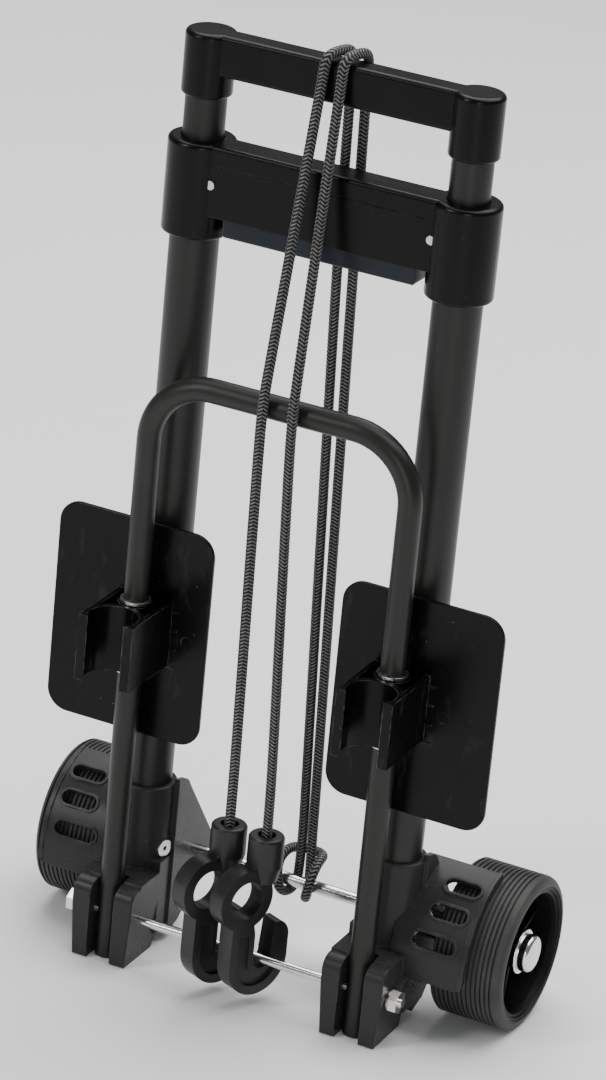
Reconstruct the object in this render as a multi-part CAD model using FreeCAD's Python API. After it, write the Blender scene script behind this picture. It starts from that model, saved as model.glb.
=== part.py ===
import FreeCAD, Part
import math
import os

# Folding platform cart, standing folded on its two wheels and its two front feet.
# Millimetres. X to the cart's right as seen from the front, -Y to the front, Z up.
# Y is measured here from the uprights' own axes; FRAME_Y then moves every node, so that the
# origin lies on the floor under the middle of the whole folded cart.

V = FreeCAD.Vector
UP = V(0, 0, 1)
RIGHT = V(1, 0, 0)
BACK = V(0, 1, 0)

# ---- main dimensions -------------------------------------------------------
HALF_TRACK = 86.2            # upright axis from the middle plane; the platform legs share it
SLIDE_GAP = 0.4              # between two moving plastic faces that run past each other
FRAME_Y = -4.25              # from the uprights' axes to the middle of the folded depth
RUN = 0.08                   # radial running clearance of a shaft in its hole
SEAT = 0.05                  # radial clearance of a tube in the socket that holds it

OUTER_R, OUTER_WALL = 15.0, 1.5
OUTER_BOTTOM, OUTER_TOP = 42.0, 505.0
INNER_R, INNER_WALL = 12.5, 1.2
INNER_BOTTOM, INNER_TOP = 75.0, 586.0
HANDLE_TRAVEL = 380.0

YOKE_R, YOKE_BOTTOM, YOKE_TOP = 20.5, 468.0, 527.0
YOKE_FRONT, YOKE_BACK = -14.5, 7.5
YOKE_BAR_BOTTOM = 483.5
YOKE_SKIN = 2.6
RELEASE_BOTTOM, RELEASE_LIFT = 471.5, 6.0
PIN_R, PIN_Z, PIN_DRAW = 2.5, 497.0, 4.0

GRIP_R, GRIP_BOTTOM, GRIP_TOP = 15.3, 553.0, 592.0
GRIP_BAR_BOTTOM, GRIP_FRONT, GRIP_BACK = 567.0, -9.5, 7.5

ROD_R, ROD_Y, ROD_Z = 3.0, -37.5, 30.0
AXLE_R, AXLE_Y, AXLE_Z = 4.0, 34.5, 49.0
AXLE_HALF, CAP_END = 165.5, 169.2
ROD_HEAD_X = 107.4

LEG_R, LEG_WALL = 7.5, 1.2
LEG_BOTTOM, LEG_BEND_R = 1.5, 40.0
LEG_BAR_Z = 387.0

WHEEL_R, TREAD_IN, TREAD_OUT = 49.0, 120.5, 168.0
HUB_IN, HUB_OUT = 115.5, 159.7
WHEEL_STEP = HUB_IN + HUB_OUT    # the left wheel is the same part, moved this far to the left
FENDER_R, FENDER_WALL = 57.0, 3.0
FENDER_Y, FENDER_Z = 34.5, 45.5
FENDER_IN, FENDER_OUT = 97.0, 146.5
FENDER_FROM, FENDER_TO = -6.0, 80.0
SOCKET_R, SOCKET_BOTTOM, SOCKET_TOP = 18.6, 14.0, 108.0
CHEEK_WALL = 3.5
EAR_IN, EAR_OUT = 8.3, 20.6

PLATE_FRONT, PLATE_BACK = -24.0, -21.0
PLATE_LOW, PLATE_HIGH = 148.0, 287.5
PLATE_OUTWARD, PLATE_INWARD, PLATE_CORNER = 62.6, 43.0, 14.0
BLOCK_LOW, BLOCK_HIGH = 198.0, 240.5
BLOCK_HALF, BLOCK_WALL = 18.4, 3.0
BLOCK_FRONT = -75.0
CRADLE_Y = ROD_Y - 28.0
CRADLE_R = 15.35

CORD_R = 3.25
HOOK_THICK, HOOK_TWIST = 12.0, -24.0
HOOK_X = (-10.0, 15.5)


# ---- small helpers ---------------------------------------------------------
def cyl(radius, start, end):
    """A solid cylinder between two points."""
    axis = end - start
    return Part.makeCylinder(radius, axis.Length, start, axis)


def rod_z(radius, x, y, low, high):
    """An upright cylinder."""
    return cyl(radius, V(x, y, low), V(x, y, high))


def rod_x(radius, x0, x1, y, z):
    """A cylinder that lies along X."""
    return cyl(radius, V(min(x0, x1), y, z), V(max(x0, x1), y, z))


def box(x0, x1, y0, y1, z0, z1):
    """A box given by its three ranges."""
    corner = V(min(x0, x1), min(y0, y1), min(z0, z1))
    return Part.makeBox(abs(x1 - x0), abs(y1 - y0), abs(z1 - z0), corner)


def prism(points, along):
    """A flat polygon pushed along a vector."""
    wire = Part.makePolygon(points + [points[0]])
    return Part.Face(wire).extrude(along)


def side_shape(x0, x1, start, steps):
    """A YZ outline pushed along X. A step is its end point, or a point passed and its end."""
    here = V(x0, *start)
    edges = []
    for step in steps:
        if isinstance(step[0], tuple):
            through, end = V(x0, *step[0]), V(x0, *step[1])
            edges.append(Part.Arc(here, through, end).toShape())
        else:
            end = V(x0, *step)
            edges.append(Part.LineSegment(here, end).toShape())
        here = end
    return Part.Face(Part.Wire(edges)).extrude(V(x1 - x0, 0, 0))


def fuse(parts):
    """Several solids joined into one."""
    whole = parts[0].multiFuse(parts[1:])
    return whole.removeSplitter()


def revolve_x(profile, y, z):
    """A profile of (x, radius) points turned about an axis along X."""
    points = [V(x, y, z + r) for x, r in profile]
    wire = Part.makePolygon(points + [points[0]])
    return Part.Face(wire).revolve(V(0, y, z), RIGHT, 360)


def mirror(shape):
    """The same shape on the other side of the middle plane."""
    return shape.mirror(V(0, 0, 0), RIGHT)


def moved(shape, x):
    """A copy of the shape, x further to the right."""
    copy = shape.copy()
    copy.translate(V(x, 0, 0))
    return copy


def round_edges(shape, radius, wanted):
    """Rounds the edges that the test picks; keeps the sharp solid if the kernel cannot."""
    edges = [e for e in shape.Edges if wanted(e)]
    try:
        rounded = shape.makeFillet(radius, edges)
    except Part.OCCError:
        return shape
    return rounded if rounded.isValid() else shape


def edge_between(axis, low, high):
    """Picks edges whose whole box lies between two values on one axis."""
    names = {"x": ("XMin", "XMax"), "y": ("YMin", "YMax"), "z": ("ZMin", "ZMax")}[axis]

    def test(edge):
        bounds = edge.BoundBox
        return getattr(bounds, names[0]) > low and getattr(bounds, names[1]) < high
    return test


def hexagon_x(across, x0, x1, y, z):
    """A hexagonal prism that lies along X."""
    radius = across / math.sqrt(3)
    points = []
    for i in range(6):
        turn = math.radians(60 * i + 30)
        points.append(V(x0, y + radius * math.cos(turn), z + radius * math.sin(turn)))
    return prism(points, V(x1 - x0, 0, 0))


def export(name, shape):
    """Writes one node, moved to the middle of the cart's depth."""
    shape = shape.copy()
    shape.translate(V(0, FRAME_Y, 0))
    shape.exportStep("parts/" + name + ".step")
    print(name, "volume", round(shape.Volume), "solids", len(shape.Solids), shape.isValid())


# ---- uprights --------------------------------------------------------------
def outer_tube(side):
    """Lower, wider tube of one upright, with the hole the lock pin passes."""
    x = side * HALF_TRACK
    tube = rod_z(OUTER_R, x, 0, OUTER_BOTTOM, OUTER_TOP)
    tube = tube.cut(rod_z(OUTER_R - OUTER_WALL, x, 0, OUTER_BOTTOM - 1, OUTER_TOP + 1))
    tube = tube.cut(rod_x(PIN_R + 0.6, 0, x, 0, PIN_Z))
    hole = rivet(0.05)
    return tube.cut(hole if side > 0 else mirror(hole))


def inner_tube(side):
    """Upper, sliding tube of one upright; two holes near its foot take the lock pin."""
    x = side * HALF_TRACK
    tube = rod_z(INNER_R, x, 0, INNER_BOTTOM, INNER_TOP)
    tube = tube.cut(rod_z(INNER_R - INNER_WALL, x, 0, INNER_BOTTOM - 1, INNER_TOP + 1))
    lock_z = PIN_Z - HANDLE_TRAVEL
    for drop in (0.0, 180.0):
        tube = tube.cut(rod_x(PIN_R + 0.6, 0, x, 0, lock_z + drop))
    return tube.cut(cross_pin(side, 0.1))


def cross_pin(side, grow):
    """Pin through the grip socket and the inner tube, front to back."""
    x = side * HALF_TRACK
    start = V(x, -GRIP_R + 1.2, GRIP_BOTTOM + 22)
    end = V(x, GRIP_R - 1.2, GRIP_BOTTOM + 22)
    return cyl(2.0 + grow, start, end)


def tube_glide(side):
    """Plastic foot pressed into the inner tube; it runs inside the outer tube."""
    x = side * HALF_TRACK
    ring = rod_z(OUTER_R - OUTER_WALL - RUN, x, 0, INNER_BOTTOM - 4, INNER_BOTTOM)
    plug = rod_z(INNER_R - INNER_WALL - SEAT, x, 0, INNER_BOTTOM, INNER_BOTTOM + 18)
    bore = rod_z(INNER_R - INNER_WALL - 3, x, 0, INNER_BOTTOM - 5, INNER_BOTTOM + 19)
    return ring.fuse(plug).cut(bore)


def guide_bush(side):
    """Plastic sleeve in the mouth of the outer tube; the inner tube runs in it."""
    x = side * HALF_TRACK
    sleeve = rod_z(OUTER_R - OUTER_WALL - SEAT, x, 0, OUTER_TOP - 18, OUTER_TOP)
    collar = rod_z(OUTER_R - 0.2, x, 0, OUTER_TOP, OUTER_TOP + 4)
    bush = sleeve.fuse(collar)
    bush = bush.cut(rod_z(INNER_R + RUN, x, 0, OUTER_TOP - 20, OUTER_TOP + 6))
    return bush.cut(rod_x(PIN_R + 0.6, 0, x, 0, PIN_Z))


# ---- yoke, release bar and lock pins ---------------------------------------
def yoke_socket(side):
    """Round housing at one end of the yoke, without its bore."""
    x = side * HALF_TRACK
    body = rod_z(YOKE_R, x, 0, YOKE_BOTTOM, YOKE_TOP)
    body = round_edges(body, 3.0, edge_between("z", YOKE_TOP - 1, YOKE_TOP + 1))
    return round_edges(body, 2.0, edge_between("z", YOKE_BOTTOM - 1, YOKE_BOTTOM + 1))


def yoke():
    """Cross member moulded round both tube tops; hollow bar open below and behind."""
    reach = HALF_TRACK - 6
    bar = box(-reach, reach, YOKE_FRONT, YOKE_BACK, YOKE_BAR_BOTTOM, YOKE_TOP)
    top_edges = edge_between("z", YOKE_TOP - 1, YOKE_TOP + 1)
    bar = round_edges(bar, 2.5, lambda e: top_edges(e) and e.Length > 100)
    body = fuse([yoke_socket(-1), bar, yoke_socket(1)])
    inside = HALF_TRACK - YOKE_R - 2.5
    hollow = box(-inside, inside, YOKE_FRONT + YOKE_SKIN, YOKE_BACK + 1,
                 YOKE_BAR_BOTTOM - 1, YOKE_TOP - YOKE_SKIN)
    body = body.cut(hollow)
    seam = box(-inside - 3, inside + 3, YOKE_FRONT - 1, YOKE_FRONT + 0.4, 514.6, 515.2)
    body = body.cut(seam)
    for side in (-1, 1):
        x = side * HALF_TRACK
        body = body.cut(rod_z(OUTER_R + SEAT, x, 0, YOKE_BOTTOM - 1, OUTER_TOP + 4.1))
        body = body.cut(rod_z(INNER_R + 0.5, x, 0, OUTER_TOP, YOKE_TOP + 1))
        body = body.cut(rod_x(PIN_R + RUN, side * 55, x, 0, PIN_Z))
        body = body.cut(yoke_screw(side, 0.05))
        body = body.cut(box(side * (inside - 1), side * (inside + 4), -4, 4.2,
                            YOKE_BOTTOM - 1, PIN_Z - 5))
    return body


def yoke_cover():
    """Plate that closes the back of the yoke bar."""
    inside = HALF_TRACK - YOKE_R - 2.7
    plate = box(-inside, inside, YOKE_BACK - 2.4, YOKE_BACK,
                YOKE_BAR_BOTTOM + 0.2, YOKE_TOP - YOKE_SKIN - 0.2)
    for z in (495.0, 505.0, 515.0):
        plate = plate.cut(box(-40, 40, YOKE_BACK - 0.6, YOKE_BACK + 1, z - 0.6, z + 0.6))
    return plate


def yoke_screw(side, grow):
    """Small pan-head screw on the front of the yoke beside each socket."""
    x = side * 71.5
    shank = cyl(1.5 + grow, V(x, -9.2 + grow, 503), V(x, YOKE_FRONT - 0.2, 503))
    head = cyl(2.8 + grow, V(x, YOKE_FRONT + 1.2 + grow, 503), V(x, YOKE_FRONT - 0.9, 503))
    return shank.fuse(head)


def release_bar():
    """Pull-up bar under the yoke, with a forked wedge at each end for the lock pins."""
    half = HALF_TRACK - YOKE_R - 3.4
    front, back = YOKE_FRONT + YOKE_SKIN + SLIDE_GAP, YOKE_BACK - 2.8
    pad = box(-half, half, front, back, RELEASE_BOTTOM, 486.0)
    pad = round_edges(pad, 2.0, edge_between("z", RELEASE_BOTTOM - 1, RELEASE_BOTTOM + 1))
    pieces = [pad]
    for side in (-1, 1):
        face = lambda z: side * (53.0 - (PIN_DRAW / RELEASE_LIFT) * (PIN_Z - z))
        low, high = 485.0, 505.0
        points = [V(face(low), -7, low), V(side * 58.5, -7, low),
                  V(side * 58.5, -7, high), V(face(high), -7, high)]
        wedge = prism(points, V(0, 11, 0))
        slot = box(side * 40, side * 62, -3.2, 3.2, PIN_Z - 9.5, high + 1)
        pieces.append(wedge.cut(slot))
    return fuse(pieces)


def lock_pin(side):
    """Steel pin with a slanted shoulder; the lifted wedge draws it off the inner tube."""
    tip = HALF_TRACK - INNER_R - 0.35
    shaft = rod_x(PIN_R, side * 30, side * tip, 0, PIN_Z)
    gap = 0.5
    face = lambda z: side * (53.0 - gap - (PIN_DRAW / RELEASE_LIFT) * (PIN_Z - z))
    low, high = PIN_Z - 4.5, PIN_Z + 4.5
    points = [V(side * 44, -7, low), V(face(low), -7, low),
              V(face(high), -7, high), V(side * 44, -7, high)]
    return shaft.fuse(prism(points, V(0, 11, 0)))


# ---- handle ----------------------------------------------------------------
def grip_socket(side):
    """Closed round cap of the grip over one inner tube."""
    x = side * HALF_TRACK
    cap = rod_z(GRIP_R, x, 0, GRIP_BOTTOM, GRIP_TOP)
    cap = round_edges(cap, 3.0, edge_between("z", GRIP_TOP - 1, GRIP_TOP + 1))
    return round_edges(cap, 1.8, edge_between("z", GRIP_BOTTOM - 1, GRIP_BOTTOM + 1))


def handle_grip():
    """One moulding: two caps and the flat-sided bar between them, flush on top."""
    bar = box(-HALF_TRACK, HALF_TRACK, GRIP_FRONT, GRIP_BACK, GRIP_BAR_BOTTOM, GRIP_TOP)
    bar = round_edges(bar, 2.6, lambda e: e.Length > 100)
    body = fuse([grip_socket(-1), bar, grip_socket(1)])
    for side in (-1, 1):
        x = side * HALF_TRACK
        body = body.cut(rod_z(INNER_R + SEAT, x, 0, GRIP_BOTTOM - 1, INNER_TOP + 0.1))
        body = body.cut(cross_pin(side, 0.05))
    return body


# ---- wheel brackets --------------------------------------------------------
def fender_point(x, radius, degrees):
    """A point on the fender's cylinder; 0 degrees is forward, 90 is up."""
    turn = math.radians(degrees)
    return V(x, FENDER_Y - radius * math.cos(turn), FENDER_Z + radius * math.sin(turn))


def ring_sector(x0, x1, r_in, r_out, start, stop):
    """Part of a thick ring about the guard's centre line."""
    middle = (start + stop) / 2
    outer = Part.Arc(fender_point(x0, r_out, start), fender_point(x0, r_out, middle),
                     fender_point(x0, r_out, stop)).toShape()
    inner = Part.Arc(fender_point(x0, r_in, stop), fender_point(x0, r_in, middle),
                     fender_point(x0, r_in, start)).toShape()
    close_a = Part.LineSegment(fender_point(x0, r_out, stop),
                               fender_point(x0, r_in, stop)).toShape()
    close_b = Part.LineSegment(fender_point(x0, r_in, start),
                               fender_point(x0, r_out, start)).toShape()
    wire = Part.Wire([outer, close_a, inner, close_b])
    return Part.Face(wire).extrude(V(x1 - x0, 0, 0))


def fender_slot(x0, x1, degrees, half, r_in, r_out):
    """Round-ended opening through the fender, square to its surface."""
    turn = math.radians(degrees)
    outward = V(0, -math.cos(turn), math.sin(turn))
    along = V(0, math.sin(turn), math.cos(turn))
    base = V(0, FENDER_Y, FENDER_Z) + outward * r_in
    a, b = V(x0 + half, 0, 0) + base, V(x1 - half, 0, 0) + base
    depth = outward * (r_out - r_in)
    ends = [cyl(half, a, a + depth), cyl(half, b, b + depth)]
    middle = prism([a - along * half, b - along * half, b + along * half, a + along * half], depth)
    return fuse(ends + [middle])


SLOTS = ((118.0, 141.0, 59.2), (115.9, 139.9, 40.6), (109.9, 138.5, 20.9))


def fender_corner(radius):
    """What the lower outer corner of the guard loses to its rounding."""
    x = FENDER_OUT - radius
    z = fender_point(x, FENDER_R, FENDER_FROM).z + radius
    square = box(x, FENDER_OUT + 1, -40, -5, z - radius - 1, z)
    return square.cut(cyl(radius, V(x, -41, z), V(x, -4, z)))


def fender():
    """Curved guard in front of and above the right wheel, three slots with raised rims."""
    shell = ring_sector(FENDER_IN, FENDER_OUT, FENDER_R - FENDER_WALL, FENDER_R,
                        FENDER_FROM, FENDER_TO)
    lip = ring_sector(FENDER_OUT - 2.5, FENDER_OUT, FENDER_R - FENDER_WALL, FENDER_R + 0.8,
                      FENDER_FROM, FENDER_TO)
    rims = [fender_slot(a - 1.6, b + 1.6, turn, 6.2, FENDER_R - 2, FENDER_R + 1.0)
            for a, b, turn in SLOTS]
    body = fuse([shell, lip] + rims)
    for a, b, turn in SLOTS:
        body = body.cut(fender_slot(a, b, turn, 4.6, FENDER_R - 8, FENDER_R + 6))
    return body.cut(fender_corner(6.0))


def cheek(x0, x1):
    """Triangular side plate from the socket back to the axle."""
    steps = [(8, SOCKET_TOP + 2), ((12.5, SOCKET_TOP - 0.5), (15, SOCKET_TOP - 4)), (51, 57),
             ((53.6, 49), (50, 42.5)), (14, 9.5), (0, 5), (0, SOCKET_TOP + 4)]
    return side_shape(x0, x1, (0, SOCKET_TOP + 4), steps)


def ear(side):
    """One side of the clevis that holds a platform leg; it is also the front foot."""
    near, far = HALF_TRACK + side * EAR_IN, HALF_TRACK + side * EAR_OUT
    front, back, top = -50.0, -11.0, 52.0
    steps = [((front + 0.5, 0.5), (front, 1.5)), (front, top - 9),
             ((front + 2.6, top - 2.6), (front + 9, top)), (back, top), (back, 12),
             (back - 2, 0), (front + 1.5, 0)]
    solid = side_shape(near, far, (front + 1.5, 0), steps)
    foot, draw, beyond = far - side * 2.4, far, far + side * 6
    taper = prism([V(foot, front - 1, -1), V(beyond, front - 1, -1), V(beyond, front - 1, 34),
                   V(draw, front - 1, 34)], V(0, 60, 0))
    solid = solid.cut(taper)
    rim = [e for e in solid.Edges if e.BoundBox.ZMin > 33 and e.BoundBox.YMax < back - 1]
    return round_edges(solid, 1.2, lambda e: any(e.isSame(r) for r in rim)
                       and abs(e.BoundBox.XMin - far) + abs(e.BoundBox.XMax - far) < 0.02)


def bracket():
    """Right bracket: tube socket, cheeks, clevis feet, wheel guard."""
    x = HALF_TRACK
    socket = rod_z(SOCKET_R, x, 0, SOCKET_BOTTOM, SOCKET_TOP)
    socket = round_edges(socket, 1.5, edge_between("z", SOCKET_TOP - 1, SOCKET_TOP + 1))
    inner_cheek = cheek(x - EAR_OUT - 1.6, x - EAR_OUT - 1.6 + CHEEK_WALL)
    outer_cheek = cheek(x + EAR_OUT - CHEEK_WALL, x + EAR_OUT)
    side_fill = box(x - EAR_OUT - 1.6, x + EAR_OUT, 0, 12, SOCKET_BOTTOM, SOCKET_TOP - 2)
    floor_web = box(x - EAR_OUT, x + EAR_OUT, -6, 14, 9, 17)
    ears = [ear(1), ear(-1)]
    links = [box(x + EAR_IN, x + EAR_OUT, -14, 2, 10, 60),
             box(x - EAR_OUT, x - EAR_IN, -14, 2, 10, 60)]
    roof = box(x - EAR_OUT, x + EAR_OUT, -38, -8, 45, 53)
    rib = box(x - 2.0, x + 2.0, -25, -15, 52, SOCKET_TOP - 6)
    root = ring_sector(FENDER_IN, x + EAR_OUT, 34, FENDER_R - 0.5, FENDER_FROM, 62)
    bosses = [rod_x(9, x - EAR_OUT - 1.6, HUB_IN - 0.3, AXLE_Y, AXLE_Z)]
    body = fuse([socket, inner_cheek, outer_cheek, side_fill, floor_web, roof, root, fender()]
                + ears + links + bosses)
    body = body.cut(rod_z(OUTER_R + SEAT, x, 0, OUTER_BOTTOM, SOCKET_TOP + 9))
    body = body.cut(rod_x(AXLE_R + SEAT, 0, 200, AXLE_Y, AXLE_Z))
    body = body.cut(rod_x(ROD_R + SEAT, 0, 200, ROD_Y, ROD_Z))
    body = body.cut(leg_sweep())
    body = body.cut(rivet(0.05))
    return body.removeSplitter()


def leg_sweep():
    """Room between the ears for the leg and for its foot as the platform comes down."""
    x0, width = HALF_TRACK - EAR_IN, 2 * EAR_IN
    tail = cyl(31.5, V(x0, ROD_Y, ROD_Z), V(x0 + width, ROD_Y, ROD_Z))
    tail = tail.common(box(x0, x0 + width, ROD_Y - 60, ROD_Y + 60, -10, ROD_Z + 9))
    front = box(x0, x0 + width, -80, ROD_Y + 8.6, -10, 80)
    return fuse([tail, front])


def rivet(grow):
    """Hollow rivet that pins the bracket to the upright, seen on the inner front side."""
    turn = math.radians(197)
    out = V(math.cos(turn), math.sin(turn), 0)
    centre = V(HALF_TRACK, 0, 66)
    shank = cyl(2.6 + grow, centre, centre + out * (SOCKET_R + 0.2))
    head = cyl(5.6 + grow, centre + out * (SOCKET_R - 1.2 - grow), centre + out * (SOCKET_R + 0.9))
    return shank.fuse(head)


def rivet_part():
    """The rivet itself, with its hollow middle."""
    turn = math.radians(197)
    out = V(math.cos(turn), math.sin(turn), 0)
    centre = V(HALF_TRACK, 0, 66)
    body = rivet(0).cut(rod_z(12.0, HALF_TRACK, 0, 50, 80))
    return body.cut(cyl(1.5, centre + out * 10, centre + out * 25))


# ---- axle, rod and fasteners -----------------------------------------------
def rear_axle():
    """Plain steel axle right across the cart."""
    return rod_x(AXLE_R, -AXLE_HALF, AXLE_HALF, AXLE_Y, AXLE_Z)


def axle_cap():
    """Domed push-on cap that keeps the right wheel on its axle."""
    start = HUB_OUT + 0.3
    flange = rod_x(14.4, start, start + 2.0, AXLE_Y, AXLE_Z)
    flange = round_edges(flange, 0.8, edge_between("x", start + 1.9, start + 2.1))
    dome = rod_x(12.0, start + 1.0, CAP_END, AXLE_Y, AXLE_Z)
    dome = round_edges(dome, 3.2, edge_between("x", CAP_END - 0.1, CAP_END + 0.1))
    return fuse([flange, dome]).cut(rod_x(AXLE_R + 0.02, start - 1, AXLE_HALF + 0.1,
                                          AXLE_Y, AXLE_Z))


def washer_x(x0, x1, bore, radius, y, z):
    """A flat ring that lies along X."""
    return rod_x(radius, x0, x1, y, z).cut(rod_x(bore, x0 - 1, x1 + 1, y, z))


def pivot_rod():
    """Rod through both clevises with its own hexagon head on the left."""
    shaft = rod_x(ROD_R, -ROD_HEAD_X - 1.2, ROD_HEAD_X + 8.5, ROD_Y, ROD_Z)
    head = hexagon_x(13.0, -ROD_HEAD_X - 6.4, -ROD_HEAD_X - 1.2, ROD_Y, ROD_Z)
    return shaft.fuse(head)


def pivot_nut():
    """Nut on the right-hand end of the rod."""
    nut = hexagon_x(13.0, ROD_HEAD_X + 1.2, ROD_HEAD_X + 6.6, ROD_Y, ROD_Z)
    return nut.cut(rod_x(ROD_R + 0.02, ROD_HEAD_X, ROD_HEAD_X + 9, ROD_Y, ROD_Z))


# ---- wheels ----------------------------------------------------------------
def tyre():
    """Grooved rubber tread with one broad smooth shoulder, on the right in both wheels."""
    x0, x1, r = TREAD_IN, TREAD_OUT, WHEEL_R
    inner = 43.0
    profile = [(x0, inner), (x0, r - 3), (x0 + 0.8, r - 1.2), (x0 + 2.4, r)]
    pitch, groove, depth, count = 3.1, 1.1, 1.3, 13
    start = x0 + 3.0
    for i in range(count):
        a = start + i * pitch
        profile += [(a, r), (a + 0.2, r - depth), (a + groove, r - depth), (a + groove + 0.2, r)]
    profile += [(x1 - 5.0, r), (x1 - 2.4, r - 0.8), (x1 - 0.8, r - 2.4), (x1, r - 4.6), (x1, inner)]
    return revolve_x(profile, AXLE_Y, AXLE_Z)


def rim():
    """Plastic wheel body: drum, stepped face, web, hub and ribs."""
    x0, x1 = TREAD_IN, TREAD_OUT
    drum = [(x0, 39.5), (x0, 42.9), (x1 - 0.6, 42.9), (x1 - 0.6, 41.0), (x1 - 2.0, 40.4),
            (x1 - 2.0, 38.6), (x1 - 5.0, 38.0), (x0 + 20, 37.4), (x0 + 20, 39.5)]
    web = [(x0 + 18, 12.0), (x0 + 18, 38.6), (x0 + 21, 38.6), (x0 + 21, 12.0)]
    hub = [(HUB_IN, AXLE_R + RUN), (HUB_IN, 11.0), (x0 + 18, 13.0), (HUB_OUT, 11.5),
           (HUB_OUT, AXLE_R + RUN)]
    pieces = [revolve_x(p, AXLE_Y, AXLE_Z) for p in (drum, web, hub)]
    for i in range(6):
        rib = box(x0 + 20, x0 + 34, AXLE_Y + 11, AXLE_Y + 38.4, AXLE_Z - 1.1, AXLE_Z + 1.1)
        rib.rotate(V(0, AXLE_Y, AXLE_Z), RIGHT, 60 * i + 20)
        pieces.append(rib)
    return fuse(pieces)


# ---- platform --------------------------------------------------------------
def u_path():
    """Centre line of the platform tube."""
    x, r, top = HALF_TRACK, LEG_BEND_R, LEG_BAR_Z
    y = ROD_Y
    k = r * (1 - math.sqrt(0.5))
    left_up = Part.LineSegment(V(-x, y, LEG_BOTTOM), V(-x, y, top - r))
    left_bend = Part.Arc(V(-x, y, top - r), V(-x + k, y, top - k), V(-x + r, y, top))
    across = Part.LineSegment(V(-x + r, y, top), V(x - r, y, top))
    right_bend = Part.Arc(V(x - r, y, top), V(x - k, y, top - k), V(x, y, top - r))
    right_down = Part.LineSegment(V(x, y, top - r), V(x, y, LEG_BOTTOM))
    parts = (left_up, left_bend, across, right_bend, right_down)
    return Part.Wire([p.toShape() for p in parts])


def pipe(path, radius, start, direction):
    """A round section carried along a path."""
    section = Part.Wire([Part.makeCircle(radius, start, direction)])
    return path.makePipeShell([section], True, True)


def u_frame():
    """U-shaped platform tube with the holes the pivot rod passes."""
    start = V(-HALF_TRACK, ROD_Y, LEG_BOTTOM)
    solid = pipe(u_path(), LEG_R, start, UP)
    core = pipe(u_path(), LEG_R - LEG_WALL, start, UP)
    return solid.cut(core).cut(rod_x(ROD_R + RUN, -120, 120, ROD_Y, ROD_Z))


def leg_plug(side):
    """Plastic plug in the foot of a leg."""
    x = side * HALF_TRACK
    plug = rod_z(LEG_R - LEG_WALL - SEAT, x, ROD_Y, LEG_BOTTOM, LEG_BOTTOM + 14)
    flange = rod_z(LEG_R - 0.3, x, ROD_Y, LEG_BOTTOM - 1.3, LEG_BOTTOM)
    return round_edges(plug.fuse(flange), 0.8, edge_between("z", 0, LEG_BOTTOM - 1))


def leg_rings(side):
    """Two snap rings that keep a wing at its height on the leg."""
    x = side * HALF_TRACK
    rings = []
    for low in (BLOCK_LOW - 2.4, BLOCK_HIGH + 0.4):
        ring = rod_z(LEG_R + 2.0, x, ROD_Y, low, low + 2.0)
        rings.append(ring.cut(rod_z(LEG_R + 0.02, x, ROD_Y, low - 1, low + 3)))
    return rings


# ---- wings -----------------------------------------------------------------
def wing_plate():
    """Flat rounded plate of the right wing with its ejector disc and short ribs."""
    x0, x1 = HALF_TRACK - PLATE_INWARD, HALF_TRACK + PLATE_OUTWARD
    plate = box(x0, x1, PLATE_FRONT, PLATE_BACK, PLATE_LOW, PLATE_HIGH)
    corners = [e for e in plate.Edges if abs(e.BoundBox.YLength - 3.0) < 0.01]
    plate = plate.makeFillet(PLATE_CORNER, corners)
    plate = round_edges(plate, 0.7, lambda e: e.BoundBox.YLength < 0.01)
    extras = []
    for side in (-1, 1):
        near = HALF_TRACK + side * BLOCK_HALF
        for i in range(4):
            z = 234.0 - 12.2 * i
            extras.append(box(near - side * 1.0, near + side * 4.4, PLATE_FRONT - 0.9,
                              PLATE_FRONT + 1, z - 0.6, z + 0.6))
    plate = fuse([plate] + extras)
    for disc in (HALF_TRACK - 29.5, HALF_TRACK + 29.5):
        dent = cyl(3.6, V(disc, PLATE_FRONT - 1, 216), V(disc, PLATE_FRONT + 0.3, 216))
        plate = plate.cut(dent)
    return plate


def wing_block():
    """Clip block: two walls, the sleeve on the leg, the open cradle in front."""
    x, low, high = HALF_TRACK, BLOCK_LOW, BLOCK_HIGH
    walls = [box(x + s * (BLOCK_HALF - BLOCK_WALL), x + s * BLOCK_HALF, BLOCK_FRONT,
                 PLATE_FRONT + 1, low, high) for s in (-1, 1)]
    sleeve = rod_z(LEG_R + 3.4, x, ROD_Y, low, high)
    cradle = rod_z(BLOCK_HALF, x, CRADLE_Y, low, high)
    cradle = cradle.common(box(x - 30, x + 30, BLOCK_FRONT, 0, low, high))
    tie = box(x - 1.6, x + 1.6, ROD_Y, PLATE_FRONT + 1, low, high)
    cross = box(x - BLOCK_HALF, x + BLOCK_HALF, ROD_Y - 1.5, ROD_Y + 1.5, low, low + 3)
    body = fuse(walls + [sleeve, cradle, tie, cross])
    body = body.cut(rod_z(CRADLE_R, x, CRADLE_Y, low - 1, high + 1))
    body = body.cut(rod_z(LEG_R + RUN, x, ROD_Y, low - 1, high + 1))
    return body


def wing():
    """Right wing in one piece."""
    whole = fuse([wing_plate(), wing_block()])
    return whole.cut(rod_z(LEG_R + RUN, HALF_TRACK, ROD_Y, BLOCK_LOW - 1, BLOCK_HIGH + 1))


# ---- hooks and cord --------------------------------------------------------
THROAT_R, THROAT_UP = 6.9, 2.6
RING_U, RING_UP, RING_R, RING_HOLE = -16.0, 45.0, 20.0, 12.6
BARREL_R, BARREL_TOP = 11.2, 84.0


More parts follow.
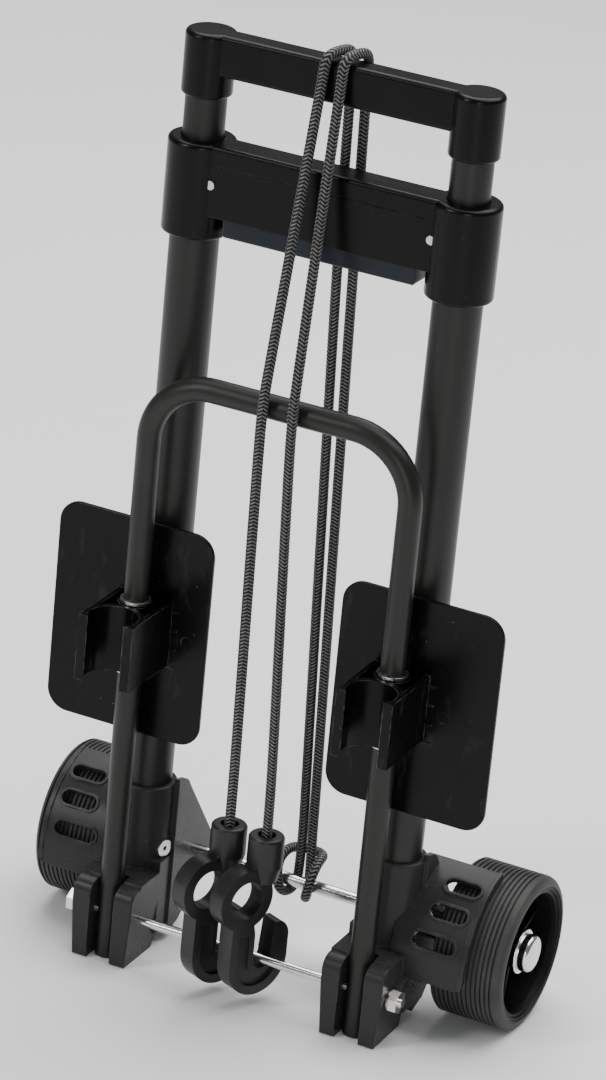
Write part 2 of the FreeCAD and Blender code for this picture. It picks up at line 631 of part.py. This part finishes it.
def hook_curve(half):
    """The curved end that passes under the rod, flat-topped at its tip."""
    steps = [(-25.2, 0.5), ((-2.7, -22.0), (19.8, 0.5)), (19.8, 12.0),
             ((18.2, 19.6), (13.0, 24.5)), (9.8, 24.5), ((8.9, 24.1), (8.6, 23.2)),
             (THROAT_R, THROAT_UP + 2.0), (0, THROAT_UP), (-THROAT_R, THROAT_UP + 2.0),
             (-THROAT_R, 20), (-9, 30), (-25.0, 30.0)]
    return side_shape(-half, half, (-25.0, 30.0), steps)


def hook_recess(x0, x1):
    """The sunk field that follows the curve on either face."""
    steps = [(-19.8, 1.0), ((-4.0, -15.8), (12.6, -2.0)), (9.4, 0.0),
             ((-1.0, -8.6), (-11.0, 1.5)), (-11.0, 20.0), (-19.2, 22.0)]
    return side_shape(x0, x1, (-19.2, 22.0), steps)


def hook_barrel():
    """Round socket that holds the cord's end, with a rounded rim about a wide mouth."""
    lower = Part.makeCone(8.6, BARREL_R, 10, V(0, 0, 54), UP)
    upper = rod_z(BARREL_R, 0, 0, 64, BARREL_TOP)
    upper = round_edges(upper, 2.2, edge_between("z", BARREL_TOP - 1, BARREL_TOP + 1))
    mouth = Part.makeCone(4.2, 5.7, 11, V(0, 0, BARREL_TOP - 10.8), UP)
    return lower.fuse(upper).cut(mouth)


def hook_flat():
    """The hook as a thick flat shape in the YZ plane about the rod's axis."""
    half = HOOK_THICK / 2
    ring = rod_x(RING_R, -half, half, RING_U, RING_UP)
    neck_points = [(-14, 60), (-7, 72), (7, 72), (7, 58), (1, 44), (-8, 50)]
    neck = prism([V(-half + 1, u, w) for u, w in neck_points], V(HOOK_THICK - 2, 0, 0))
    body = fuse([hook_curve(half), ring, neck, hook_barrel()])
    body = body.cut(rod_x(RING_HOLE, -20, 20, RING_U, RING_UP))
    body = body.cut(rod_x(THROAT_R, -20, 20, 0, THROAT_UP))
    body = body.cut(hook_recess(half - 2.2, half + 2))
    return body.cut(hook_recess(-half - 2, -half + 2.2))


def hook(x):
    """A hook hung on the pivot rod, turned a little on the cord's line."""
    shape = hook_flat()
    bore = rod_z(CORD_R + 0.35, 0, 0, 69, 90)
    shape = shape.cut(bore)
    shape.rotate(V(0, 0, 0), UP, HOOK_TWIST)
    shape.translate(V(x, ROD_Y, ROD_Z))
    return shape


CORD_POINTS = [
    (-10.0, -37.5, 101.0), (-10.0, -37.6, 122.0), (-9.8, -38.6, 160.0), (-8.8, -48.2, 352.0),
    (-8.5, -49.4, 390.0), (-8.1, -46.4, 412.0), (-7.1, -16.8, 562.0), (-6.8, -13.6, 580.0),
    (-6.4, -13.1, 591.2), (-5.4, -10.3, 595.9), (-3.8, -4.6, 597.0), (-1.6, 4.2, 597.0),
    (-0.6, 9.0, 595.4), (-0.1, 11.3, 590.4), (0.2, 11.2, 578.0), (0.9, 11.2, 545.0),
    (1.9, 11.8, 490.0), (2.5, 13.6, 440.0), (3.2, 38.6, 130.0), (3.5, 41.1, 95.0),
    (3.5, 42.2, 73.0), (3.1, 42.5, 53.0), (2.6, 42.1, 46.0), (1.5, 37.9, 41.3), (-0.5, 31.3, 41.1),
    (-2.7, 26.7, 45.6), (-4.3, 26.3, 54.0), (-5.4, 29.5, 62.0), (-5.0, 36.9, 65.9),
    (-4.1, 44.9, 65.8), (0.4, 49.5, 65.2), (6.9, 50.6, 64.8), (13.4, 49.5, 65.2),
    (17.9, 44.9, 65.8), (18.8, 36.9, 65.9), (19.2, 29.5, 62.0), (18.1, 26.3, 54.0),
    (16.5, 26.7, 45.6), (14.3, 31.3, 41.1), (12.3, 37.9, 41.3), (11.2, 42.1, 46.0),
    (10.7, 42.5, 53.0), (10.3, 42.2, 73.0), (10.3, 41.1, 95.0), (10.6, 38.6, 130.0),
    (12.8, 13.6, 440.0), (12.5, 11.8, 490.0), (11.1, 11.2, 545.0), (10.4, 11.2, 578.0),
    (10.2, 11.3, 590.4), (9.8, 9.0, 595.4), (9.0, 4.2, 597.0), (7.0, -4.6, 597.0),
    (6.0, -10.3, 595.9), (5.5, -13.1, 591.2), (5.4, -13.6, 580.0), (5.6, -16.8, 562.0),
    (10.8, -46.4, 412.0), (11.2, -49.4, 390.0), (11.5, -48.2, 352.0), (15.2, -38.6, 160.0),
    (15.5, -37.6, 122.0), (15.5, -37.5, 101.0)]


def cord_path():
    """Straight runs joined by arcs that are tangent to both."""
    points = [V(*p) for p in CORD_POINTS]
    edges, length, radii = [], 0.0, []
    here = points[0]
    for before, corner, after in zip(points, points[1:], points[2:]):
        into, away = corner - before, after - corner
        turn = into.getAngle(away)
        shorter = min(into.Length, away.Length)
        reach = 0.45 * shorter
        radius = reach / math.tan(turn / 2)
        limit = 120.0
        if radius > limit:
            radius = limit
            reach = radius * math.tan(turn / 2)
        into.normalize()
        away.normalize()
        start, stop = corner - into * reach, corner + away * reach
        inward = away - into
        inward.normalize()
        centre = corner + inward * (radius / math.cos(turn / 2))
        middle = centre - inward * radius
        edges.append(Part.LineSegment(here, start).toShape())
        edges.append(Part.Arc(start, middle, stop).toShape())
        length += (start - here).Length + radius * turn
        radii.append(round(radius, 1))
        here = stop
    edges.append(Part.LineSegment(here, points[-1]).toShape())
    length += (points[-1] - here).Length
    return Part.Wire(edges), length, radii


def elastic_cord():
    """The whole elastic cord: hook, over the grip, hitch on the axle, grip, hook."""
    path, length, radii = cord_path()
    start = V(*CORD_POINTS[0])
    solid = pipe(path, CORD_R, start, V(*CORD_POINTS[1]) - start)
    expected = math.pi * CORD_R ** 2 * length
    print("cord length", round(length, 1), "radii", radii)
    print("cord volume over section times length", round(solid.Volume / expected, 4))
    return solid


# ---- write every node ------------------------------------------------------
def main():
    os.makedirs("parts", exist_ok=True)
    for name, side in (("left", -1), ("right", 1)):
        export("outer_tube_" + name, outer_tube(side))
        export("inner_tube_" + name, inner_tube(side))
        export("guide_bush_" + name, guide_bush(side))
        export("lock_pin_" + name, lock_pin(side))
    export("tube_glides", Part.Compound([tube_glide(-1), tube_glide(1)]))
    export("handle_pins", Part.Compound([cross_pin(-1, 0), cross_pin(1, 0)]))
    export("handle_grip", handle_grip())
    export("yoke", yoke())
    export("yoke_cover", yoke_cover())
    export("yoke_screws", Part.Compound([yoke_screw(-1, 0), yoke_screw(1, 0)]))
    export("release_bar", release_bar())

    right = bracket()
    export("bracket_right", right)
    export("bracket_left", mirror(right))
    fastener = rivet_part()
    export("bracket_rivets", Part.Compound([fastener, mirror(fastener)]))
    export("rear_axle", rear_axle())
    cap = axle_cap()
    export("axle_caps", Part.Compound([cap, mirror(cap)]))
    export("pivot_rod", pivot_rod())
    export("pivot_nut", pivot_nut())
    washer = washer_x(ROD_HEAD_X - 0.2, ROD_HEAD_X + 1.2, ROD_R + 0.02, 6.5, ROD_Y, ROD_Z)
    export("pivot_washers", Part.Compound([washer, mirror(washer)]))

    tread, body = tyre(), rim()
    export("tyre_right", tread)
    export("tyre_left", moved(tread, -WHEEL_STEP))
    export("rim_right", body)
    export("rim_left", moved(body, -WHEEL_STEP))

    export("u_frame", u_frame())
    export("leg_plugs", Part.Compound([leg_plug(-1), leg_plug(1)]))
    export("leg_rings", Part.Compound(leg_rings(-1) + leg_rings(1)))
    panel = wing()
    export("wing_right", panel)
    export("wing_left", mirror(panel))

    export("hook_left", hook(HOOK_X[0]))
    export("hook_right", hook(HOOK_X[1]))
    export("elastic_cord", elastic_cord())


main()
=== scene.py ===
"""The folding platform cart's looks: materials, the braided elastic cord, floor, light and camera."""

import math

import bpy
import numpy as np
from mathutils import Matrix, Vector


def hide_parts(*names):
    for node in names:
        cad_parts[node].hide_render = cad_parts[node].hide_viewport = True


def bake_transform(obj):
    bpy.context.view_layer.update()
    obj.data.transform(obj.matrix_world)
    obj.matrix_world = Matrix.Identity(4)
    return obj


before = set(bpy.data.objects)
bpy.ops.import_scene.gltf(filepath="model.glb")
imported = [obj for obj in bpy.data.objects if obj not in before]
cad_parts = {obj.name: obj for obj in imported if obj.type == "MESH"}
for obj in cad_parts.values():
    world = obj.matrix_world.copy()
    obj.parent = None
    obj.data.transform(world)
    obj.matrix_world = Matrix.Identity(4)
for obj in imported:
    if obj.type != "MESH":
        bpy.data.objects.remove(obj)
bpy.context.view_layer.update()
MM = 0.001
FRAME_Y = -4.25 * MM   # the cord's route is measured from the uprights' axes, which lie here


# ---- camera ----------------------------------------------------------------
CAMERA_PLACE = (1.0784, -2.3714, 1.3913)
CAMERA_RIGHT = (0.8905, 0.4461, 0.0896)
CAMERA_UP = (-0.2488, 0.3126, 0.9167)
LENS, SENSOR = 157.32, 36.0
NEAREST, FURTHEST = 0.1, 50.0


def make_camera():
    data = bpy.data.cameras.new("camera")
    data.lens, data.sensor_width = LENS, SENSOR
    data.clip_start, data.clip_end = NEAREST, FURTHEST
    camera = bpy.data.objects.new("camera", data)
    bpy.context.scene.collection.objects.link(camera)
    right, up = Vector(CAMERA_RIGHT).normalized(), Vector(CAMERA_UP).normalized()
    back = right.cross(up).normalized()
    turn = Matrix((right, back.cross(right), back)).transposed()
    camera.matrix_world = Matrix.Translation(CAMERA_PLACE) @ turn.to_4x4()
    bpy.context.scene.camera = camera


# ---- elastic cord ----------------------------------------------------------
CORD_DIAMETER = 6.5 * MM
# Hook, up the front, over the grip, down the back, hitched on the axle, and back to the other hook.
CORD_ROUTE = [
    (-0.0100, -0.0375, 0.1010), (-0.0100, -0.0376, 0.1220), (-0.0098, -0.0386, 0.1600),
    (-0.0088, -0.0482, 0.3520), (-0.0085, -0.0494, 0.3900), (-0.0081, -0.0464, 0.4120),
    (-0.0071, -0.0168, 0.5620), (-0.0068, -0.0136, 0.5800), (-0.0064, -0.0131, 0.5912),
    (-0.0054, -0.0103, 0.5959), (-0.0038, -0.0046, 0.5970), (-0.0016, 0.0042, 0.5970),
    (-0.0006, 0.0090, 0.5954), (-0.0001, 0.0113, 0.5904), (0.0002, 0.0112, 0.5780),
    (0.0009, 0.0112, 0.5450), (0.0019, 0.0118, 0.4900), (0.0025, 0.0136, 0.4400),
    (0.0032, 0.0386, 0.1300), (0.0035, 0.0411, 0.0950), (0.0035, 0.0422, 0.0730),
    (0.0031, 0.0425, 0.0530), (0.0026, 0.0421, 0.0460), (0.0015, 0.0379, 0.0413),
    (-0.0005, 0.0313, 0.0411), (-0.0027, 0.0267, 0.0456), (-0.0043, 0.0263, 0.0540),
    (-0.0054, 0.0295, 0.0620), (-0.0050, 0.0369, 0.0659), (-0.0041, 0.0449, 0.0658),
    (0.0004, 0.0495, 0.0652), (0.0069, 0.0506, 0.0648), (0.0134, 0.0495, 0.0652),
    (0.0179, 0.0449, 0.0658), (0.0188, 0.0369, 0.0659), (0.0192, 0.0295, 0.0620),
    (0.0181, 0.0263, 0.0540), (0.0165, 0.0267, 0.0456), (0.0143, 0.0313, 0.0411),
    (0.0123, 0.0379, 0.0413), (0.0112, 0.0421, 0.0460), (0.0107, 0.0425, 0.0530),
    (0.0103, 0.0422, 0.0730), (0.0103, 0.0411, 0.0950), (0.0106, 0.0386, 0.1300),
    (0.0128, 0.0136, 0.4400), (0.0125, 0.0118, 0.4900), (0.0111, 0.0112, 0.5450),
    (0.0104, 0.0112, 0.5780), (0.0102, 0.0113, 0.5904), (0.0098, 0.0090, 0.5954),
    (0.0090, 0.0042, 0.5970), (0.0070, -0.0046, 0.5970), (0.0060, -0.0103, 0.5959),
    (0.0055, -0.0131, 0.5912), (0.0054, -0.0136, 0.5800), (0.0056, -0.0168, 0.5620),
    (0.0108, -0.0464, 0.4120), (0.0112, -0.0494, 0.3900), (0.0115, -0.0482, 0.3520),
    (0.0152, -0.0386, 0.1600), (0.0155, -0.0376, 0.1220), (0.0155, -0.0375, 0.1010)]
BRAID_COLUMNS = 6         # columns of slanted yarn floats round the cord
BRAID_PITCH = 2.3 * MM    # from one float to the next along the cord
BRAID_DEPTH = 0.34 * MM   # from a float's crown to the groove beside it
BRAID_LEAN = 0.9          # pitches by which a float climbs across its column
FLOAT_SHARPNESS = 1.5     # more than 1 narrows the floats and widens the grooves
COLUMN_EDGE = 0.72        # height of a float at its column's edge, against its middle
RING_STEP = 0.36 * MM     # between the mesh's rings
CORD_SIDES = 30           # points in each ring
ROUTE_STEPS = 24          # points worked out between two of the route's own


def spline_points(route):
    """Points along the smooth line that has the route as its control points."""
    curve = bpy.data.curves.new("route", "CURVE")
    curve.dimensions = "3D"
    curve.resolution_u = ROUTE_STEPS
    spline = curve.splines.new("NURBS")
    spline.points.add(len(route) - 1)
    for point, place in zip(spline.points, route):
        point.co = (*place, 1.0)
    spline.order_u = 3
    spline.use_endpoint_u = True
    holder = bpy.data.objects.new("route", curve)
    mesh = bpy.data.meshes.new_from_object(holder)
    points = np.array([v.co for v in mesh.vertices], float)
    bpy.data.meshes.remove(mesh)
    bpy.data.curves.remove(curve)
    return points


def evenly_spaced(points, step):
    """The same line with its points step apart, and how far along it each one is."""
    lengths = np.linalg.norm(np.diff(points, axis=0), axis=1)
    along = np.concatenate([[0.0], np.cumsum(lengths)])
    at = np.linspace(0.0, along[-1], int(along[-1] / step) + 1)
    return np.stack([np.interp(at, along, points[:, k]) for k in range(3)], axis=1), at


def carried_frames(points):
    """Two unit vectors across the line at every point, carried along without twist."""
    ahead = np.gradient(points, axis=0)
    ahead /= np.linalg.norm(ahead, axis=1)[:, None]
    side = np.empty_like(points)
    side[0] = np.cross(ahead[0], (0.0, 1.0, 0.0))
    side[0] /= np.linalg.norm(side[0])
    for i in range(1, len(points)):
        side[i] = side[i - 1] - ahead[i] * (side[i - 1] @ ahead[i])
        side[i] /= np.linalg.norm(side[i])
    return side, np.cross(ahead, side)


def braid_height(turn, along):
    """Height of the yarns, 0 to 1: columns of slanted floats, leaning left and right by turns."""
    column = turn * BRAID_COLUMNS
    across = column - np.floor(column)
    lean = np.where(np.floor(column) % 2 == 0, 1.0, -1.0)
    phase = along / BRAID_PITCH + lean * (across - 0.5) * BRAID_LEAN
    float_shape = np.abs(np.sin(math.pi * phase))
    column_shape = np.sqrt(np.clip(1.0 - (2.0 * across - 1.0) ** 2, 0.0, 1.0))
    return float_shape ** FLOAT_SHARPNESS * (COLUMN_EDGE + (1 - COLUMN_EDGE) * column_shape)


def tube_mesh(name, rings):
    """A closed tube's mesh from an array of rings, each with the same number of points."""
    count, sides = rings.shape[:2]
    ring, side = np.meshgrid(np.arange(count - 1), np.arange(sides), indexing="ij")
    after = (side + 1) % sides
    corners = (ring * sides + side, ring * sides + after,
               (ring + 1) * sides + after, (ring + 1) * sides + side)
    faces = np.stack(corners, axis=-1).reshape(-1, 4).tolist()
    faces.append(list(range(sides))[::-1])
    faces.append(list(range((count - 1) * sides, count * sides)))
    mesh = bpy.data.meshes.new(name)
    mesh.from_pydata(rings.reshape(-1, 3).tolist(), [], faces)
    mesh.polygons.foreach_set("use_smooth", [True] * len(mesh.polygons))
    return mesh


def add_object(name, mesh, material):
    """A new object in the scene with one mesh and one material."""
    piece = bpy.data.objects.new(name, mesh)
    bpy.context.scene.collection.objects.link(piece)
    mesh.materials.append(material)
    return piece


def make_cord(material):
    """The braided cord, which stretches between the frame and the handle."""
    route = [(x, y + FRAME_Y, z) for x, y, z in CORD_ROUTE]
    centres, along = evenly_spaced(spline_points(route), RING_STEP)
    side, up = carried_frames(centres)
    turn = np.arange(CORD_SIDES) / CORD_SIDES
    height = braid_height(turn[None, :], along[:, None])
    radius = CORD_DIAMETER / 2 - BRAID_DEPTH * (1.0 - height)
    angle = 2 * math.pi * turn
    out = np.cos(angle)[None, :, None] * side[:, None] + np.sin(angle)[None, :, None] * up[:, None]
    mesh = tube_mesh("elastic_cord_braid", centres[:, None] + radius[:, :, None] * out)
    # The yarn height is kept for the material, which paints the crowns pale as a painted highlight.
    yarn = mesh.attributes.new("yarn", "FLOAT", "POINT")
    yarn.data.foreach_set("value", height.astype(np.float32).ravel())
    cord = add_object("elastic_cord_braid", mesh, material)
    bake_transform(cord)
    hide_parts("elastic_cord")


# ---- material nodes --------------------------------------------------------
class Graph:
    """One material's node tree, with short calls for the nodes used here."""

    def __init__(self, name):
        self.material = bpy.data.materials.new(name)
        self.material.use_nodes = True
        self.nodes = self.material.node_tree.nodes
        self.links = self.material.node_tree.links
        self.shader = self.nodes["Principled BSDF"]

    def node(self, kind, inputs=None, **settings):
        made = self.nodes.new("ShaderNode" + kind)
        for key, value in settings.items():
            setattr(made, key, value)
        for key, value in (inputs or {}).items():
            self.put(made.inputs[key], value)
        return made

    def put(self, socket, value):
        if isinstance(value, bpy.types.NodeSocket):
            self.links.new(value, socket)
        else:
            socket.default_value = value

    def place(self, stretch=(1, 1, 1)):
        """The row frame's coordinates in metres, stretched."""
        coords = self.node("TexCoord").outputs["Object"]
        return self.node("Mapping", {"Vector": coords, "Scale": stretch}).outputs["Vector"]

    def noise(self, scale, detail=3.0, stretch=(1, 1, 1)):
        inputs = {"Vector": self.place(stretch), "Scale": scale, "Detail": detail}
        return self.node("TexNoise", inputs).outputs["Fac"]

    def specks(self, scale, size):
        """Small round dots, few and far between."""
        cells = self.node("TexVoronoi", {"Vector": self.place(), "Scale": scale})
        dot = self.span(cells.outputs["Distance"], size, size * 0.6)
        chosen = self.node("SeparateColor", {"Color": cells.outputs["Color"]}).outputs["Red"]
        return self.maths("MULTIPLY", dot, self.span(chosen, 0.55, 0.6))

    def pale_edges_wear_and_highlight(self, width, scale):
        """Sharp edges, broken up by noise, painted pale: partly wear from handling, partly a painted
        highlight along the edges.
        """
        rounded = self.node("Bevel", {"Radius": width}, samples=6).outputs["Normal"]
        flat = self.node("NewGeometry").outputs["Normal"]
        facing = self.node("VectorMath", operation="DOT_PRODUCT")
        self.put(facing.inputs[0], rounded)
        self.put(facing.inputs[1], flat)
        edge = self.span(facing.outputs["Value"], 0.985, 0.90)
        return self.maths("MULTIPLY", edge, self.span(self.noise(scale, 5), 0.42, 0.62))

    def span(self, value, low, high, to_low=0.0, to_high=1.0):
        inputs = {"Value": value, "From Min": low, "From Max": high, "To Min": to_low,
                  "To Max": to_high}
        return self.node("MapRange", inputs).outputs["Result"]

    def maths(self, operation, *values):
        made = self.node("Math", operation=operation)
        for socket, value in zip(made.inputs, values):
            self.put(socket, value)
        return made.outputs["Value"]

    def mix(self, amount, first, second):
        """The colour mix; the node has sockets of the same names for numbers and vectors too."""
        made = self.node("Mix", data_type="RGBA")
        self.put(made.inputs["Factor"], amount)
        for key, value in (("A", first), ("B", second)):
            socket = [s for s in made.inputs if s.name == key and s.type == "RGBA"][0]
            self.put(socket, value)
        return [s for s in made.outputs if s.type == "RGBA"][0]

    def bump(self, height, distance, soft_edge=0.0):
        """Surface relief, on edges rounded to soft_edge where it is given."""
        inputs = {"Height": height, "Distance": distance, "Strength": 1.0}
        made = self.node("Bump", inputs)
        if soft_edge:
            bevel = self.node("Bevel", {"Radius": soft_edge}, samples=4)
            self.put(made.inputs["Normal"], bevel.outputs["Normal"])
        return made.outputs["Normal"]

    def finish(self, colour, roughness, normal, metallic=0.0, specular=0.5, ior=1.5):
        self.put(self.shader.inputs["Base Color"], colour)
        self.put(self.shader.inputs["Roughness"], roughness)
        self.put(self.shader.inputs["Normal"], normal)
        self.put(self.shader.inputs["Metallic"], metallic)
        self.put(self.shader.inputs["Specular IOR Level"], specular)
        self.put(self.shader.inputs["IOR"], ior)
        return self.material


def grey(value, warm=0.0):
    """A grey, a little redder if warm is above 0 and bluer if below."""
    return (value * (1 + warm), value, value * (1 - warm), 1.0)


# ---- materials, one function each ------------------------------------------
# The brackets and the wings share a slot, and the brackets are the greyer of the two. The change
# is in the gap between the brackets' top, at 0.112, and the wings' lower edge, at 0.148.
GREYER_BELOW, BLACKER_ABOVE = 0.12, 0.14


def painted_tube():
    """Satin black paint on steel: a fine orange peel and faint rub marks along the tube."""
    g = Graph("painted_tube")
    peel = g.noise(650, 2)
    cloud = g.noise(14, 4)
    rubs = g.span(g.noise(60, 5, (1, 1, 0.08)), 0.56, 0.72)
    colour = g.mix(g.maths("MULTIPLY", rubs, 0.5), grey(0.0085, 0.14), grey(0.019, 0.08))
    rough = g.maths("ADD", g.span(cloud, 0.3, 0.7, 0.36, 0.46), g.maths("MULTIPLY", rubs, 0.06))
    return g.finish(colour, rough, g.bump(peel, 0.025 * MM, 0.4 * MM), ior=1.42)


def satin_plastic():
    """Black handle moulding: fine even texture and a few pale specks."""
    g = Graph("satin_plastic")
    grain = g.noise(1500, 3)
    cloud = g.noise(20, 4)
    specks = g.specks(150, 0.045)
    marks = g.span(g.noise(45, 6, (0.25, 1, 1)), 0.6, 0.75)
    dark = g.mix(g.maths("MULTIPLY", marks, 0.35), grey(0.0026, -0.03), grey(0.014, 0.0))
    # Edges painted pale: partly wear, partly a painted highlight.
    pale_edged = g.mix(g.maths("MULTIPLY", g.pale_edges_wear_and_highlight(0.9 * MM, 90), 0.5), dark, grey(0.05, 0.02))
    colour = g.mix(specks, pale_edged, grey(0.12, 0.03))
    rough = g.maths("ADD", g.span(cloud, 0.3, 0.7, 0.22, 0.32), g.maths("MULTIPLY", marks, 0.08))
    return g.finish(colour, rough, g.bump(grain, 0.03 * MM, 0.7 * MM), ior=1.27)


def moulded_plastic():
    """Black polypropylene of the brackets and wings: scuffs, flow marks and dust."""
    g = Graph("moulded_plastic")
    grain = g.noise(1100, 3)
    cloud = g.noise(26, 5)
    scuffs = g.span(g.noise(120, 7, (1, 1, 0.35)), 0.60, 0.74)
    specks = g.specks(120, 0.05)
    height = g.node("SeparateXYZ", {"Vector": g.place()}).outputs["Z"]
    upper = g.span(height, GREYER_BELOW, BLACKER_ABOVE)
    base = g.mix(upper, grey(0.031, 0.02), grey(0.0028, -0.02))
    dark = g.mix(g.maths("MULTIPLY", scuffs, 0.45), base, grey(0.034, 0.02))
    # Edges painted pale: partly wear, partly a painted highlight.
    pale_edged = g.mix(g.maths("MULTIPLY", g.pale_edges_wear_and_highlight(0.9 * MM, 140), 0.8), dark, grey(0.12, 0.04))
    colour = g.mix(specks, pale_edged, grey(0.16, 0.04))
    rough = g.maths("ADD", g.span(cloud, 0.3, 0.7, 0.20, 0.34), g.maths("MULTIPLY", scuffs, 0.12))
    return g.finish(colour, rough, g.bump(grain, 0.035 * MM, 0.8 * MM), ior=1.25)


def button_plastic():
    """The release bar's slightly blue black, smoother than the moulding round it."""
    g = Graph("button_plastic")
    grain = g.noise(1300, 2)
    cloud = g.noise(30, 3)
    colour = g.mix(g.span(cloud, 0.4, 0.7), (0.011, 0.014, 0.019, 1.0), (0.019, 0.023, 0.029, 1.0))
    rough = g.span(cloud, 0.3, 0.7, 0.26, 0.36)
    return g.finish(colour, rough, g.bump(grain, 0.02 * MM, 0.6 * MM), ior=1.3)


def wheel_plastic():
    """The wheel body's matt black, with dust in its recess."""
    g = Graph("wheel_plastic")
    grain = g.noise(900, 3)
    cloud = g.noise(35, 4)
    specks = g.specks(170, 0.06)
    colour = g.mix(specks, g.mix(cloud, grey(0.002), grey(0.006)), grey(0.12, 0.03))
    rough = g.span(cloud, 0.3, 0.7, 0.42, 0.58)
    return g.finish(colour, rough, g.bump(grain, 0.04 * MM, 0.5 * MM), ior=1.25)


def hook_plastic():
    """The hooks' smooth black nylon, with soft flow marks."""
    g = Graph("hook_plastic")
    flow = g.noise(55, 4, (1, 1, 0.4))
    grain = g.noise(1200, 2)
    specks = g.specks(260, 0.05)
    dark = g.mix(g.span(flow, 0.45, 0.75), grey(0.016, 0.02), grey(0.030, 0.03))
    colour = g.mix(specks, dark, grey(0.10, 0.03))
    rough = g.span(flow, 0.3, 0.7, 0.30, 0.42)
    return g.finish(colour, rough, g.bump(grain, 0.03 * MM, 0.7 * MM), ior=1.38)


def tread_rubber():
    """Dark grey rubber, dull on the ribs."""
    g = Graph("tread_rubber")
    grain = g.noise(1400, 4)
    cloud = g.noise(40, 5)
    colour = g.mix(g.span(cloud, 0.35, 0.7), grey(0.029, 0.02), grey(0.052, 0.03))
    rough = g.span(cloud, 0.3, 0.7, 0.48, 0.62)
    return g.finish(colour, rough, g.bump(grain, 0.05 * MM, 0.5 * MM), ior=1.35)


def zinc_steel():
    """Zinc-plated steel: pale, slightly warm and a little uneven."""
    g = Graph("zinc_steel")
    cloud = g.noise(180, 4)
    fine = g.noise(1600, 3)
    colour = g.mix(g.span(cloud, 0.35, 0.7), grey(0.62, 0.03), grey(0.80, 0.02))
    rough = g.span(cloud, 0.3, 0.7, 0.22, 0.36)
    return g.finish(colour, rough, g.bump(fine, 0.02 * MM, 0.4 * MM), metallic=1.0)


def bright_steel():
    """Drawn bright steel rod, with hairlines along it."""
    g = Graph("bright_steel")
    lines = g.noise(500, 4, (0.03, 1, 1))
    cloud = g.noise(70, 3)
    colour = g.mix(g.span(cloud, 0.35, 0.7), grey(0.72, 0.01), grey(0.86, 0.01))
    rough = g.span(lines, 0.3, 0.7, 0.12, 0.24)
    return g.finish(colour, rough, g.bump(lines, 0.008 * MM, 0.3 * MM), metallic=1.0)


def braided_cord():
    """Black yarn floats, their raised crowns painted pale grey as a painted highlight, broken up by
    noise and fibre fuzz.
    """
    g = Graph("braided_cord")
    yarn = g.node("Attribute", attribute_name="yarn").outputs["Fac"]
    # The crowns are painted pale: a painted highlight that follows the braid's relief, varied by
    # noise.
    crown_highlight = g.span(yarn, 0.50, 0.80)
    fibres = g.noise(4200, 3)
    highlight_breakup = g.span(g.noise(300, 3), 0.3, 0.7, 0.6, 1.0)
    fuzz = g.span(fibres, 0.2, 0.7, 0.6, 1.0)
    amount = g.maths("MULTIPLY", g.maths("MULTIPLY", crown_highlight, highlight_breakup), fuzz)
    colour = g.mix(amount, grey(0.002), grey(0.25, 0.02))
    g.shader.inputs["Sheen Weight"].default_value = 0.04
    g.shader.inputs["Sheen Roughness"].default_value = 0.5
    rough = g.span(fibres, 0.3, 0.7, 0.55, 0.75)
    return g.finish(colour, rough, g.bump(fibres, 0.05 * MM), specular=0.3)


MATERIALS = {"painted_tube": painted_tube, "satin_plastic": satin_plastic,
             "moulded_plastic": moulded_plastic, "button_plastic": button_plastic,
             "wheel_plastic": wheel_plastic, "hook_plastic": hook_plastic,
             "tread_rubber": tread_rubber, "zinc_steel": zinc_steel,
             "bright_steel": bright_steel, "braided_cord": braided_cord}


def dress_nodes(materials):
    """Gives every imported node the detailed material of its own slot."""
    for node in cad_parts.values():
        for holder in node.material_slots:
            slot = holder.material.name.split(".")[0]
            holder.material = materials[slot]


# ---- stage -----------------------------------------------------------------
FLOOR_REACH = 8.0
SKY_COLOUR, SKY_STRENGTH = (0.95, 0.97, 1.0, 1.0), 0.20


def floor_material():
    """The studio's pale matt floor."""
    g = Graph("floor")
    cloud = g.noise(3, 3)
    colour = g.mix(cloud, grey(0.91), grey(0.94))
    rough = g.span(cloud, 0.3, 0.7, 0.75, 0.85)
    return g.finish(colour, rough, g.bump(cloud, 0.1 * MM), specular=0.2)


def make_floor():
    mesh = bpy.data.meshes.new("floor")
    signs = ((-1, -1), (1, -1), (1, 1), (-1, 1))
    corners = [(x * FLOOR_REACH, y * FLOOR_REACH, 0) for x, y in signs]
    mesh.from_pydata(corners, [], [(0, 1, 2, 3)])
    add_object("floor", mesh, floor_material())


def area_light(name, place, target, width, height, power):
    data = bpy.data.lights.new(name, "AREA")
    data.shape, data.size, data.size_y, data.energy = "RECTANGLE", width, height, power
    light = bpy.data.objects.new(name, data)
    bpy.context.scene.collection.objects.link(light)
    light.location = place
    aim = Vector(target) - Vector(place)
    light.rotation_mode = "QUATERNION"
    light.rotation_quaternion = aim.to_track_quat("-Z", "Y")


def make_light():
    area_light("overhead", (0.1, 0.9, 2.7), (0, 0.3, 0), 3.6, 2.8, 150)
    area_light("key", (-1.7, -2.2, 1.9), (0, 0, 0.3), 0.5, 1.5, 36)
    area_light("front", (1.25, -2.7, 0.85), (0, 0, 0.3), 0.45, 1.5, 15)
    world = bpy.data.worlds.new("studio")
    world.use_nodes = True
    background = world.node_tree.nodes["Background"]
    background.inputs["Color"].default_value = SKY_COLOUR
    background.inputs["Strength"].default_value = SKY_STRENGTH
    bpy.context.scene.world = world


make_camera()
looks = {name: make() for name, make in MATERIALS.items()}
dress_nodes(looks)
make_cord(looks["braided_cord"])
make_floor()
make_light()
